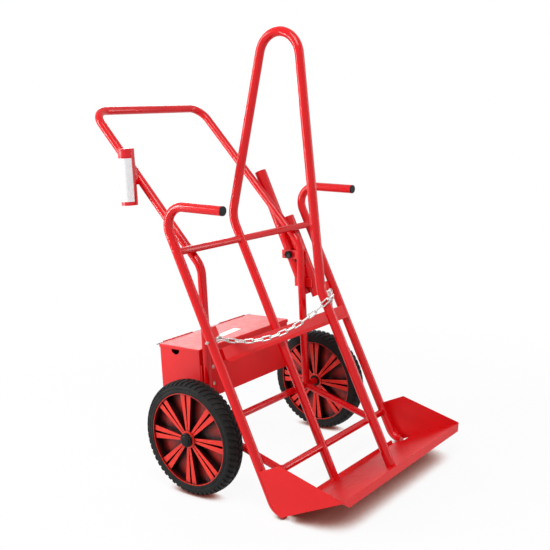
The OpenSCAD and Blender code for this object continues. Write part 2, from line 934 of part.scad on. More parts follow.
module box_nuts() {
    color([0.7, 0.7, 0.72])
    centred()
    for (p = bolt_places)
        translate([p[0], box_y + box_sheet, p[1]])
        rotate([-90, 0, 0])
        difference() {
            cylinder(h = 0.8 * bolt_d, d = 1.8 * bolt_d, $fn = 6);
            translate([0, 0, -over])
            cylinder(h = bolt_d + 2 * over, d = bolt_d);
        }
}

// Rod holders on plates outside the right handle leg
rod_plate_x = leg_x + handle_r;
rod_x = rod_plate_x + rod_plate_t + rod_tube_d / 2;
function rod_axis_y(foot_y, z) = foot_y + (z - rod_bottom) * tan(rod_lean);
tail_back = rail_y(hook_height) + link_inside / 2 + link_wire;
short_foot_y = tail_back + short_ahead + rod_tube_d / 2 / cos(rod_lean);
rod_pitch = (rod_tube_d + rod_gap) / cos(rod_lean);
long_foot_y = short_foot_y + rod_pitch;
rod_up = [0, sin(rod_lean), cos(rod_lean)];

function rod_low(foot_y) = [rod_x, foot_y, rod_bottom];
function rod_high(foot_y, top) = [rod_x, rod_axis_y(foot_y, top), top];

module rod_tube(foot_y, top) {
    color([0.85, 0.07, 0.12])
    centred()
    tube(rod_low(foot_y), rod_high(foot_y, top), rod_tube_d, rod_tube_wall);
}

module rod_tube_bases() {
    color([0.85, 0.07, 0.12])
    centred()
    for (foot_y = [short_foot_y, long_foot_y])
        rod(rod_low(foot_y) - rod_up * rod_tube_wall, rod_low(foot_y), rod_tube_d);
}

module rod_plate(z, past) {
    y0 = min(-handle_r, rod_axis_y(short_foot_y, z) - rod_tube_d / 3);
    y1 = rod_axis_y(long_foot_y, z) + past;
    color([0.85, 0.07, 0.12])
    centred()
    translate([rod_plate_x, y0, z - rod_plate_h / 2])
    cube([rod_plate_t, y1 - y0, rod_plate_h]);
}

module clamp_knob() {
    color([0.05, 0.05, 0.05])
    centred()
    translate([rod_plate_x, rod_axis_y(long_foot_y, rod_plate_high) - rod_tube_d / 4, rod_plate_high])
    rotate([0, -90, 0]) {
        cylinder(h = knob_length / 3, d = 0.6 * knob_d);
        translate([0, 0, knob_length / 3])
        cylinder(h = knob_length * 2 / 3, d = knob_d);
    }
}

// Document tube on a pad outside the left handle leg
doc_x = -leg_x - handle_r - doc_pad_t - doc_d / 2;
doc_y = (doc_middle - elbow_z) * tan(handle_slope);
doc_low = doc_middle - (doc_length + doc_cap_head) / 2;
doc_top = doc_low + doc_length;
label_start = 130;

module document_tube() {
    color([0.85, 0.07, 0.12])
    centred()
    tube([doc_x, doc_y, doc_low], [doc_x, doc_y, doc_top], doc_d, doc_wall);
}

module document_base() {
    color([0.85, 0.07, 0.12])
    centred()
    rod([doc_x, doc_y, doc_low], [doc_x, doc_y, doc_low + 2 * doc_wall], doc_d - 2 * doc_wall);
}

module document_cap() {
    seat = doc_top + doc_cap_clear;
    color([0.8, 0.06, 0.1])
    centred() {
        rod([doc_x, doc_y, seat], [doc_x, doc_y, seat + doc_cap_head], doc_d);
        rod(
            [doc_x, doc_y, doc_top - doc_cap_spigot],
            [doc_x, doc_y, seat],
            doc_d - 2 * doc_wall - 2 * doc_cap_clear
        );
    }
}

module document_pad() {
    pad_h = doc_d;
    color([0.85, 0.07, 0.12])
    centred()
    difference() {
        translate([doc_x, doc_y - doc_d / 4, doc_middle - pad_h / 2])
        cube([-leg_x - handle_r / 2 - doc_x, doc_d / 2, pad_h]);
        rod([doc_x, doc_y, doc_low - over], [doc_x, doc_y, doc_top + over], doc_d);
        bent_rod(handle_run, handle_bends, handle_tube_d);
    }
}

// Chain: two stretches, joined by a link that lies across the front leg of the loop, and a free tail
eye_wire = link_wire + 1;
eye_r = 2.2 * link_wire;
eye_shank = eye_r + eye_wire;
eye_shank_d = 0.8 * eye_wire;
plate_back = eye_wire / 2;
link_r = (link_inside + link_wire) / 2;
link_half_w = link_r + link_wire / 2;
half_play = link_play / 2;

function eye_z(side) = side < 0 ? eye_height : hook_height;
function eye_at(side) = [side * (rail_x - rail_r - eye_shank), rail_y(eye_z(side)), eye_z(side)];
function eye_near(side) = eye_at(side) - [side * eye_r, 0, 0];

// A stretch hangs as a parabola; its links share its length evenly
function hang(a, b, sag, u) = a + (b - a) * u - [0, 0, 4 * sag * u * (1 - u)];
function flat_run(a, b) = norm([b[0] - a[0], b[1] - a[1]]);
function rise(a, b, sag, u) = b[2] - a[2] - 4 * sag * (1 - 2 * u);
function asinh(v) = ln(v + sqrt(v * v + 1));
function run_sum(h, w) = (w * sqrt(h * h + w * w) + h * h * asinh(w / h)) / 2;
function hang_length(a, b, sag, u) =
    (run_sum(flat_run(a, b), rise(a, b, sag, u)) - run_sum(flat_run(a, b), rise(a, b, sag, 0))) / (8 * sag);
function share_at(a, b, sag, length, low, high, steps) =
    let (mid = (low + high) / 2)
    steps == 0 ? mid
    : hang_length(a, b, sag, mid) < length ? share_at(a, b, sag, length, mid, high, steps - 1)
    : share_at(a, b, sag, length, low, mid, steps - 1);
function stations(a, b, sag, count) = [
    for (i = [0 : count])
        let (length = hang_length(a, b, sag, 1) * i / count)
        hang(a, b, sag, share_at(a, b, sag, length, 0, 1, 30))
];
function hang_heading(a, b, sag, u) = unit([b[0] - a[0], b[1] - a[1], rise(a, b, sag, u)]);

// Headings of the chain at its eyes and at the front leg, from a first place ahead of that leg
front_leg_s = (chain_front_height - axle_h - loop_reach * sin(rail_lean)) / cos(rail_lean);
leg_forward = [0, -cos(rail_lean), sin(rail_lean)];
link_middle = in_rail(loop_x, -loop_reach, front_leg_s) + leg_forward * (rail_r + link_half_w + link_play);
left_eye_heading = hang_heading(eye_near(-1), link_middle, left_sag, 0);
left_heading = hang_heading(eye_near(-1), link_middle, left_sag, 1);
right_heading = hang_heading(link_middle, eye_near(1), right_sag, 0);
right_eye_heading = hang_heading(link_middle, eye_near(1), right_sag, 1);

// The link across the leg lies in the plane of both headings, and its neighbours turn in its round ends
link_heading = unit(left_heading + right_heading);
link_normal = unit(cross(left_heading, right_heading));
link_half = link_pitch / 2 + half_play - link_inside / 2;
link_seat = link_inside / 2 - half_play;
left_end = link_middle - link_heading * link_half - left_heading * link_seat;
right_start = link_middle + link_heading * link_half + right_heading * link_seat;

// Each eye is turned square to its chain, whose outer end goes through the near side of the eye
function eye_up(heading) = unit(cross([1, 0, 0], heading)) * sign(heading[1]);
left_eye_up = eye_up(left_eye_heading);
right_eye_up = eye_up(right_eye_heading);
eye_seat = eye_wire / 2 + half_play;
left_start = eye_near(-1) - left_eye_heading * eye_seat;
right_end = eye_near(1) + right_eye_heading * eye_seat;

// Even counts leave the outer links square to the eyes
left_count = 2 * round(hang_length(left_start, left_end, left_sag, 1) / link_pitch / 2);
right_count = 2 * round(hang_length(right_start, right_end, right_sag, 1) / link_pitch / 2);

module eye_hole(side) {
    rod(eye_at(side), eye_at(side) + [side * (rail_tube_d + 3 * eye_shank), 0, 0], eye_shank_d);
}

module eye_bolt(side, up) {
    color([0.72, 0.72, 0.74])
    centred() {
        place(eye_at(side), [1, 0, 0], up, cross([1, 0, 0], up))
        rotate_extrude()
        translate([eye_r, 0])
        circle(d = eye_wire);
        rod(
            eye_at(side) + [side * eye_r, 0, 0],
            eye_at(side) + [side * (eye_shank + rail_tube_d + 2 * eye_wire), 0, 0],
            eye_shank_d
        );
    }
}

module eye_nuts() {
    color([0.72, 0.72, 0.74])
    centred()
    for (side = [-1, 1])
        difference() {
            translate([side * (rail_x + rail_r), rail_y(eye_z(side)), eye_z(side)])
            rotate([0, side * 90, 0])
            cylinder(h = 0.9 * eye_wire, d = 2 * eye_wire, $fn = 6);
            eye_hole(side);
        }
}

module chain_plate(side) {
    color([0.85, 0.07, 0.12])
    centred()
    difference() {
        translate(eye_at(side))
        rotate([-rail_lean, 0, 0])
        translate([side > 0 ? -eye_r - eye_wire : -eye_shank - rail_r, plate_back, eye_r - eye_wire / 2])
        cube([eye_r + eye_wire + eye_shank + rail_r, sheet, 3.3 * eye_r]);
        rail_solid(side);
        eye_hole(side);
    }
}

// One link between two stations; a flat link has its face to the normal, the others stand on edge to it
module chain_link(a, b, on_edge, normal) {
    ez = unit(b - a);
    up = unit(normal - ez * (normal * ez));
    ex = on_edge ? up : cross(up, ez);
    half = norm(b - a) / 2 + half_play - link_inside / 2;
    place((a + b) / 2, ex, cross(ez, ex), ez) {
        for (side = [-1, 1])
            translate([side * link_r, 0, -half - link_lap])
            cylinder(h = 2 * (half + link_lap), d = link_wire);
        for (end = [-1, 1])
            translate([0, 0, end * half])
            rotate([90, end < 0 ? 180 : 0, 0])
            rotate_extrude(angle = 180)
            translate([link_r, 0])
            circle(d = link_wire - 2 * bend_thin);
    }
}

module chain_stretch(points, first_on_edge, first_normal, last_normal) {
    last = len(points) - 2;
    for (i = [0 : last])
        chain_link(
            points[i],
            points[i + 1],
            i % 2 == (first_on_edge ? 0 : 1),
            first_normal + (last_normal - first_normal) * i / last
        );
}

module left_chain() {
    color([0.75, 0.75, 0.77])
    centred()
    chain_stretch(stations(left_start, left_end, left_sag, left_count), false, left_eye_up, link_normal);
}

module right_chain() {
    color([0.75, 0.75, 0.77])
    centred() {
        chain_link(
            link_middle - link_heading * link_pitch / 2,
            link_middle + link_heading * link_pitch / 2,
            false,
            link_normal
        );
        chain_stretch(stations(right_start, right_end, right_sag, right_count), true, link_normal, right_eye_up);
    }
}

tail_start = eye_at(1) - eye_r * right_eye_up + [0, 0, eye_seat];

module chain_tail() {
    color([0.75, 0.75, 0.77])
    centred()
    chain_stretch([for (i = [0 : tail_links]) tail_start - [0, 0, i * link_pitch]], false, [1, 0, 0], [1, 0, 0]);
}

// Blank labels
module lid_label() {
    color([0.95, 0.95, 0.95])
    centred()
    translate([box_x + 0.47 * box_length, box_y + 0.37 * box_depth, box_top + lid_gap + box_sheet])
    rotate([0, 0, 6])
    translate([-lid_label_l / 2, -lid_label_w / 2, 0])
    cube([lid_label_l, lid_label_w, label_t]);
}

module document_label() {
    color([0.95, 0.95, 0.95])
    centred()
    translate([doc_x, doc_y, doc_top - doc_label_gap - doc_label_h])
    rotate([0, 0, label_start])
    rotate_extrude(angle = doc_label_turn)
    translate([doc_d / 2, 0])
    square([label_t, doc_label_h]);
}

// Nodes that share a shape with a twin
module left_rail() {
    rail(-1);
}

module right_rail() {
    rail(1);
}

module top_cross_left() {
    cross_tube(top_cross, -rail_x, loop_x);
}

module top_cross_right() {
    cross_tube(top_cross, loop_x, rail_x);
}

module low_cross_left() {
    cross_tube(low_cross, -rail_x, loop_x);
}

module low_cross_right() {
    cross_tube(low_cross, loop_x, rail_x);
}

module left_strut() {
    strut(-1);
}

module right_strut() {
    strut(1);
}

module left_cheek() {
    cheek(-1);
}

module right_cheek() {
    cheek(1);
}

module left_tyre() {
    tyre(-1);
}

module right_tyre() {
    tyre(1);
}

module left_rim() {
    rim(-1);
}

module right_rim() {
    rim(1);
}

module left_bush() {
    bush(-1);
}

module right_bush() {
    bush(1);
}

module inner_washers() {
    washers(inner_washer_x);
}

module outer_washers() {
    washers(outer_washer_x);
}

module long_rod_tube() {
    rod_tube(long_foot_y, long_top);
}

module short_rod_tube() {
    rod_tube(short_foot_y, short_top);
}

module rod_plate_upper() {
    rod_plate(rod_plate_high, 0.55 * rod_tube_d);
}

module rod_plate_lower() {
    rod_plate(rod_plate_low, rod_tube_d / 3);
}

module left_chain_plate() {
    chain_plate(-1);
}

module right_chain_plate() {
    chain_plate(1);
}

module left_eye_bolt() {
    eye_bolt(-1, left_eye_up);
}

module right_eye_bolt() {
    eye_bolt(1, right_eye_up);
}

left_rail();
right_rail();
grip_plugs();
lifting_loop();
push_handle();
top_cross_left();
top_cross_right();
low_cross_left();
low_cross_right();
left_strut();
right_strut();
axle_tube();
axle_bar();
foot_plate();
left_cheek();
right_cheek();
mid_bar();
left_tyre();
left_rim();
left_bush();
right_tyre();
right_rim();
right_bush();
inner_washers();
outer_washers();
axle_caps();
tool_box();
box_ends();
box_knuckles();
box_lid();
lid_skirt();
lid_knuckles();
hinge_pin();
left_box_bracket();
right_box_bracket();
box_bolts();
box_nuts();
long_rod_tube();
short_rod_tube();
rod_tube_bases();
rod_plate_upper();
rod_plate_lower();
clamp_knob();
document_tube();
document_base();
document_cap();
document_pad();
left_chain_plate();
right_chain_plate();
left_eye_bolt();
right_eye_bolt();
eye_nuts();
left_chain();
right_chain();
chain_tail();
lid_label();
document_label();
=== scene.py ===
import json
import math

import bmesh
import bpy
from mathutils import Matrix, Vector


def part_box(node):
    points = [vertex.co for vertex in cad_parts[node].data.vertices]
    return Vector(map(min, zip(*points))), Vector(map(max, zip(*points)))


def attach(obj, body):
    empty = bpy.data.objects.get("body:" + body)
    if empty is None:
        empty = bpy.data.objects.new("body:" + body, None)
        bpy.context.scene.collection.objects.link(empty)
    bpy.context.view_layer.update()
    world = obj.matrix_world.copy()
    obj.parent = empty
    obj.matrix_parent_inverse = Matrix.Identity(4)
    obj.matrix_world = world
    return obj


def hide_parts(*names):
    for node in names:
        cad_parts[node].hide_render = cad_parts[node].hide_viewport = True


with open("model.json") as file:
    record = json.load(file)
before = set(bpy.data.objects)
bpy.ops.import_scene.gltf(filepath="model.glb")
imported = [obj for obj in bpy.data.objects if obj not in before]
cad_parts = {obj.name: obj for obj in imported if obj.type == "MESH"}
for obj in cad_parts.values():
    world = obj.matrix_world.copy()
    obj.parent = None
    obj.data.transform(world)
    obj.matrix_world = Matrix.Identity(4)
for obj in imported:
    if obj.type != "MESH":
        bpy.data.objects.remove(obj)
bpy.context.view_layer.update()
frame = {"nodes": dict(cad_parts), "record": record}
nodes = frame["nodes"]
scene = bpy.context.scene
scene.view_settings.view_transform = "Standard"
print("frame loaded with", len(nodes), "nodes")

# Camera at the place and lens fitted to the photograph
cameraSet = {
    "place": (-2.36497, -1.86998, 1.23619),
    "right": (0.6067, -0.7936, -0.0481),
    "up": (0.1690, 0.0696, 0.9831),
    "lens": 55.98,
    "sensor": 36.0,
    "farClip": 60,
}
bpy.ops.object.select_all(action="DESELECT")
bpy.ops.object.camera_add(location=cameraSet["place"])
camera = bpy.context.object
sideways = Vector(cameraSet["right"]).normalized()
backwards = sideways.cross(Vector(cameraSet["up"])).normalized()
upwards = backwards.cross(sideways)
turned = Matrix((sideways, upwards, backwards)).transposed().to_4x4()
camera.matrix_world = Matrix.Translation(cameraSet["place"]) @ turned
camera.data.sensor_width = cameraSet["sensor"]
camera.data.lens = cameraSet["lens"]
camera.data.clip_end = cameraSet["farClip"]
scene.camera = camera
print("camera set")

# Studio: a pale room, soft lamps and a white sweep with a painted contact shadow
studioSet = {
    "room": 0.27,
    "lamps": [
        {"name": "sideLamp", "place": (-2.5, 2.6, 1.5), "aim": (0, 0, 0.7),
         "size": (0.6, 2.6), "power": 100},
        {"name": "overLamp", "place": (-2.0, -1.5, 4.0), "aim": (0, 0, 0.4),
         "size": (2.2, 2.2), "power": 118},
        {"name": "backLamp", "place": (2.7, 3.4, 2.2), "aim": (0, 0, 0.6),
         "size": (2.2, 1.8), "power": 56},
        {"name": "rightLamp", "place": (2.4, -2.6, 1.6), "aim": (0, 0, 0.6),
         "size": (0.8, 2.4), "power": 26},
    ],
    "floorSize": 40,
    "floorDrop": 0.0004,
    "floorBase": 0.82,
    "floorRough": 0.6,
    "floorGloss": 0.1,
    "shadeSamples": 16,
    "shadeReach": 0.165,
    "shadeFrom": 0.10,
    "shadeTo": 0.60,
    "shadeTones": [  # share of open sky, colour of the painted floor shadow
        (0.0, (88, 36, 28)), (0.35, (150, 98, 88)), (0.7, (214, 192, 186)), (1.0, (255, 255, 255)),
    ],
    "shadeShare": 0.92,
    "fadeFrom": 1.0,
    "fadeTo": 2.4,
}


def fromScreen(red, green, blue):  # screen colour to the linear colour that shaders take
    shades = []
    for shade in (red, green, blue):
        shade = shade / 255
        shades.append(shade / 12.92 if shade <= 0.04045 else ((shade + 0.055) / 1.055) ** 2.4)
    return (shades[0], shades[1], shades[2], 1.0)


def cameraOrGloss(tree):  # 1 for rays that see the background, 0 for rays that light the object
    path = tree.nodes.new("ShaderNodeLightPath")
    seen = path.outputs["Is Camera Ray"]
    for ray in ("Is Glossy Ray", "Is Transmission Ray"):
        either = tree.nodes.new("ShaderNodeMath")
        either.operation = "MAXIMUM"
        tree.links.new(seen, either.inputs[0])
        tree.links.new(path.outputs[ray], either.inputs[1])
        seen = either.outputs[0]
    return seen


room = bpy.data.worlds.new("paleRoom")
room.use_nodes = True
scene.world = room
roomTree = room.node_tree
roomLight = roomTree.nodes["Background"]
roomLight.inputs["Color"].default_value = (1, 1, 1, 1)
roomLight.inputs["Strength"].default_value = studioSet["room"]
roomSeen = roomTree.nodes.new("ShaderNodeBackground")
roomSeen.inputs["Color"].default_value = (1, 1, 1, 1)
roomSeen.inputs["Strength"].default_value = 1.0
roomMix = roomTree.nodes.new("ShaderNodeMixShader")
roomTree.links.new(cameraOrGloss(roomTree), roomMix.inputs["Fac"])
roomTree.links.new(roomLight.outputs[0], roomMix.inputs[1])
roomTree.links.new(roomSeen.outputs[0], roomMix.inputs[2])
roomTree.links.new(roomMix.outputs[0], roomTree.nodes["World Output"].inputs["Surface"])

for lampSet in studioSet["lamps"]:
    bpy.ops.object.select_all(action="DESELECT")
    bpy.ops.object.light_add(type="AREA", location=lampSet["place"])
    lamp = bpy.context.object
    lamp.name = lampSet["name"]
    lamp.data.shape = "RECTANGLE"
    lamp.data.size, lamp.data.size_y = lampSet["size"]
    lamp.data.energy = lampSet["power"]
    aim = Vector(lampSet["aim"]) - Vector(lampSet["place"])
    lamp.rotation_euler = aim.to_track_quat("-Z", "Y").to_euler()

bpy.ops.object.select_all(action="DESELECT")
bpy.ops.mesh.primitive_plane_add(size=studioSet["floorSize"],
                                 location=(0, 0, -studioSet["floorDrop"]))
sweep = bpy.context.object
sweep.name = "whiteSweep"
sweepFinish = bpy.data.materials.new("sweepPaper")
sweepFinish.use_nodes = True
sweepTree = sweepFinish.node_tree
sweepBase = sweepTree.nodes["Principled BSDF"]
base = studioSet["floorBase"]
sweepBase.inputs["Base Color"].default_value = (base, base, base, 1)
sweepBase.inputs["Roughness"].default_value = studioSet["floorRough"]
sweepBase.inputs["Specular IOR Level"].default_value = studioSet["floorGloss"]
# Painted shadow: ambient occlusion darkens the floor's glow in dark reddish tones near the object, for
# camera and glossy rays
sweepShade = sweepTree.nodes.new("ShaderNodeAmbientOcclusion")
sweepShade.samples = studioSet["shadeSamples"]
sweepShade.inputs["Distance"].default_value = studioSet["shadeReach"]
sweepTone = sweepTree.nodes.new("ShaderNodeMapRange")
sweepTone.interpolation_type = "SMOOTHSTEP"
sweepTone.inputs["From Min"].default_value = studioSet["shadeFrom"]
sweepTone.inputs["From Max"].default_value = studioSet["shadeTo"]
sweepTree.links.new(sweepShade.outputs["AO"], sweepTone.inputs["Value"])
sweepShadowColour = sweepTree.nodes.new("ShaderNodeValToRGB")
stops = sweepShadowColour.color_ramp.elements
while len(stops) < len(studioSet["shadeTones"]):
    stops.new(0.5)
for stop, (along, tone) in zip(stops, studioSet["shadeTones"]):
    stop.position = along
    stop.color = fromScreen(*tone)
sweepTree.links.new(sweepTone.outputs[0], sweepShadowColour.inputs["Fac"])
sweepShadowGlow = sweepTree.nodes.new("ShaderNodeEmission")
sweepShadowGlow.inputs["Strength"].default_value = 1.0
sweepTree.links.new(sweepShadowColour.outputs["Color"], sweepShadowGlow.inputs["Color"])
sweepCoords = sweepTree.nodes.new("ShaderNodeTexCoord")
sweepReach = sweepTree.nodes.new("ShaderNodeVectorMath")
sweepReach.operation = "LENGTH"
sweepTree.links.new(sweepCoords.outputs["Object"], sweepReach.inputs[0])
sweepFade = sweepTree.nodes.new("ShaderNodeMapRange")
sweepFade.interpolation_type = "SMOOTHSTEP"
sweepFade.inputs["From Min"].default_value = studioSet["fadeFrom"]
sweepFade.inputs["From Max"].default_value = studioSet["fadeTo"]
sweepFade.inputs["To Min"].default_value = studioSet["shadeShare"]
sweepTree.links.new(sweepReach.outputs["Value"], sweepFade.inputs["Value"])
sweepMask = sweepTree.nodes.new("ShaderNodeMath")
sweepMask.operation = "MULTIPLY"
sweepTree.links.new(sweepFade.outputs[0], sweepMask.inputs[0])
sweepTree.links.new(cameraOrGloss(sweepTree), sweepMask.inputs[1])
sweepMix = sweepTree.nodes.new("ShaderNodeMixShader")
sweepTree.links.new(sweepMask.outputs[0], sweepMix.inputs["Fac"])
sweepTree.links.new(sweepBase.outputs[0], sweepMix.inputs[1])
sweepTree.links.new(sweepShadowGlow.outputs[0], sweepMix.inputs[2])
sweepTree.links.new(sweepMix.outputs[0], sweepTree.nodes["Material Output"].inputs["Surface"])
sweep.data.materials.append(sweepFinish)
print("studio set")


# Finishes: two close shades in soft patches, uneven gloss, a fine surface, and painted shade in
# pockets for some
noiseSet = {
    "patchDetail": 3.0,
    "roughDetail": 4.0,
    "bumpDetail": 2.0,
    "low": 0.3,
    "high": 0.7,
    # samples for the painted shade in pockets
    "paintedShadeSamples": 12,
}


def addNoise(tree, place, scale, detail, stretch=None):
    if stretch:
        mapping = tree.nodes.new("ShaderNodeMapping")
        mapping.inputs["Scale"].default_value = stretch
        tree.links.new(place, mapping.inputs["Vector"])
        place = mapping.outputs["Vector"]
    noise = tree.nodes.new("ShaderNodeTexNoise")
    noise.inputs["Scale"].default_value = scale
    noise.inputs["Detail"].default_value = detail
    tree.links.new(place, noise.inputs["Vector"])
    return noise.outputs["Fac"]


def addRange(tree, value, low, high, fromLow=noiseSet["low"], fromHigh=noiseSet["high"]):
    spread = tree.nodes.new("ShaderNodeMapRange")
    spread.inputs["From Min"].default_value = fromLow
    spread.inputs["From Max"].default_value = fromHigh
    spread.inputs["To Min"].default_value = low
    spread.inputs["To Max"].default_value = high
    tree.links.new(value, spread.inputs["Value"])
    return spread.outputs["Result"]


def addMix(tree, factor, first, second):
    mix = tree.nodes.new("ShaderNodeMix")
    mix.data_type = "RGBA"
    tree.links.new(factor, mix.inputs["Factor"])
    for value, socket in ((first, mix.inputs["A"]), (second, mix.inputs["B"])):
        if isinstance(value, tuple):
            socket.default_value = value
        else:
            tree.links.new(value, socket)
    return mix.outputs["Result"]


def makeFinish(name, kit):
    finish = bpy.data.materials.new(name)
    finish.use_nodes = True
    tree = finish.node_tree
    shader = tree.nodes["Principled BSDF"]
    place = tree.nodes.new("ShaderNodeTexCoord").outputs["Object"]
    patch = addNoise(tree, place, kit["patchScale"], noiseSet["patchDetail"])
    patches = addRange(tree, patch, 0, 1)
    colour = addMix(tree, patches, fromScreen(*kit["dark"]), fromScreen(*kit["light"]))
    if "paintedShade" in kit:  # painted shade: ambient occlusion darkens the colour in deep pockets and grooves, where shade falls
        shade = tree.nodes.new("ShaderNodeAmbientOcclusion")
        shade.samples = noiseSet["paintedShadeSamples"]
        shade.only_local = True
        shade.inputs["Distance"].default_value = kit["paintedShadeReach"]
        lit = addRange(tree, shade.outputs["AO"], 0, 1, kit["paintedShadeFrom"], kit["paintedShadeTo"])
        colour = addMix(tree, lit, fromScreen(*kit["paintedShade"]), colour)
    tree.links.new(colour, shader.inputs["Base Color"])
    rough = addNoise(tree, place, kit["roughScale"], noiseSet["roughDetail"], kit.get("stretch"))
    tree.links.new(addRange(tree, rough, *kit["rough"]), shader.inputs["Roughness"])
    bump = tree.nodes.new("ShaderNodeBump")
    bump.inputs["Strength"].default_value = kit["bump"]
    bump.inputs["Distance"].default_value = kit["bumpDepth"]
    height = addNoise(tree, place, kit["bumpScale"], noiseSet["bumpDetail"])
    tree.links.new(height, bump.inputs["Height"])
    tree.links.new(bump.outputs["Normal"], shader.inputs["Normal"])
    shader.inputs["Metallic"].default_value = kit.get("metal", 0.0)
    shader.inputs["Specular IOR Level"].default_value = kit.get("specular", 0.5)
    return finish


finishSet = {
    "framePaint": {
        "dark": (208, 5, 14), "light": (217, 8, 18), "patchScale": 7, "rough": (0.09, 0.14),
        "roughScale": 40, "bump": 0.012, "bumpDepth": 0.0003, "bumpScale": 300, "specular": 0.31,
    },
    "sheetPaint": {
        "dark": (212, 8, 14), "light": (220, 11, 18), "patchScale": 7, "rough": (0.4, 0.48),
        "roughScale": 40, "bump": 0.025, "bumpDepth": 0.0003, "bumpScale": 300, "specular": 0.32,
    },
    "rimPlastic": {
        "dark": (212, 30, 16), "light": (224, 40, 22), "patchScale": 14, "rough": (0.32, 0.44),
        "roughScale": 90, "bump": 0.08, "bumpDepth": 0.0002, "bumpScale": 1100, "specular": 0.35,
        # painted shade: the rim's pockets darken towards near black
        "paintedShade": (26, 1, 2), "paintedShadeReach": 0.09, "paintedShadeFrom": 0.46, "paintedShadeTo": 0.95,
    },
    "tyreRubber": {
        "dark": (20, 19, 19), "light": (30, 29, 28), "patchScale": 25, "rough": (0.55, 0.75),
        "roughScale": 60, "bump": 0.22, "bumpDepth": 0.0004, "bumpScale": 500, "specular": 0.16,
        # painted shade: the tread's grooves darken towards black
        "paintedShade": (3, 3, 3), "paintedShadeReach": 0.009, "paintedShadeFrom": 0.4, "paintedShadeTo": 0.92,
    },
    "blackPlastic": {
        "dark": (12, 12, 12), "light": (19, 18, 18), "patchScale": 60, "rough": (0.36, 0.5),
        "roughScale": 200, "bump": 0.12, "bumpDepth": 0.0002, "bumpScale": 1500, "specular": 0.16,
    },
    "bushPlastic": {
        "dark": (34, 34, 36), "light": (46, 46, 48), "patchScale": 60, "rough": (0.4, 0.5),
        "roughScale": 200, "bump": 0.1, "bumpDepth": 0.0002, "bumpScale": 1500,
    },
    "axleSteel": {
        "dark": (150, 150, 152), "light": (182, 182, 182), "patchScale": 40, "rough": (0.26, 0.4),
        "roughScale": 60, "bump": 0.06, "bumpDepth": 0.0002, "bumpScale": 900, "metal": 1.0,
        "stretch": (0.1, 1, 1),
    },
    # Painted shade: a dark reddish steel, so the inner washers read as shaded by the hub
    "washerShadeSteel": {
        "dark": (36, 26, 25), "light": (52, 40, 38), "patchScale": 55, "rough": (0.45, 0.6),
        "roughScale": 150, "bump": 0.08, "bumpDepth": 0.0002, "bumpScale": 700, "metal": 1.0,
    },
    "zincPlate": {
        "dark": (176, 176, 170), "light": (206, 205, 198), "patchScale": 55, "rough": (0.24, 0.4),
        "roughScale": 150, "bump": 0.08, "bumpDepth": 0.0002, "bumpScale": 700, "metal": 1.0,
    },
    "chainSteel": {
        "dark": (186, 186, 184), "light": (216, 216, 213), "patchScale": 70, "rough": (0.2, 0.34),
        "roughScale": 180, "bump": 0.1, "bumpDepth": 0.0002, "bumpScale": 800, "metal": 1.0,
    },
    "tubePlastic": {
        "dark": (204, 10, 24), "light": (214, 14, 30), "patchScale": 16, "rough": (0.28, 0.38),
        "roughScale": 120, "bump": 0.06, "bumpDepth": 0.0002, "bumpScale": 900,
    },
    "labelFilm": {
        "dark": (226, 227, 229), "light": (236, 236, 237), "patchScale": 40, "rough": (0.3, 0.42),
        "roughScale": 90, "bump": 0.04, "bumpDepth": 0.0001, "bumpScale": 600,
    },
}
finishes = {}
for finishName, finishKit in finishSet.items():
    finishes[finishName] = makeFinish(finishName, finishKit)
slotFinish = {
    "frame_red": "framePaint", "black_plastic": "blackPlastic", "tyre_rubber": "tyreRubber",
    "rim_red": "rimPlastic", "bush_plastic": "bushPlastic", "axle_steel": "axleSteel",
    "zinc_plate": "zincPlate", "chain_steel": "chainSteel", "tube_red": "tubePlastic",
    "label_white": "labelFilm",
}
nodeSlot = {}
for subpart in frame["record"]["subparts"]:
    nodeSlot[subpart["node"]] = subpart["material_slot"]
nodeBody = {}
for bodyName, members in frame["record"]["behaviour"]["bodies"].items():
    for nodeName in members:
        nodeBody[nodeName] = bodyName
for nodeName, cadNode in nodes.items():
    for place in cadNode.material_slots:
        place.material = finishes[slotFinish[nodeSlot[nodeName]]]
print("finishes made:", len(finishes))


# Lines of the frame, y and z, that several pieces are set out from
lineSet = {
    "axle": (0.0614125, 0.2),
    "topCross": (0.080831, 0.831322),
    "lowCross": (-0.235953, 0.113079),
    "lean": (0.403545, 0.914960),
}

# Steps that the pieces share
mmPerMetre = 1000
workSet = {
    "smoothAngle": 35,
    "bevelSteps": 2,
    "mergeGap": 0.00001,
    "seed": 0.002,
    "facing": 0.9,
}


def pickOnly(piece):
    if bpy.context.mode != "OBJECT":
        bpy.ops.object.mode_set(mode="OBJECT")
    bpy.ops.object.select_all(action="DESELECT")
    piece.select_set(True)
    bpy.context.view_layer.objects.active = piece


def copyPiece(source):
    piece = source.copy()
    piece.data = source.data.copy()
    scene.collection.objects.link(piece)
    return piece


def softenEdges(piece, width, limit):
    pickOnly(piece)
    soft = piece.modifiers.new("softEdges", "BEVEL")
    soft.width = width
    soft.segments = workSet["bevelSteps"]
    soft.limit_method = "ANGLE"
    soft.angle_limit = math.radians(limit)
    bpy.ops.object.modifier_apply(modifier=soft.name)


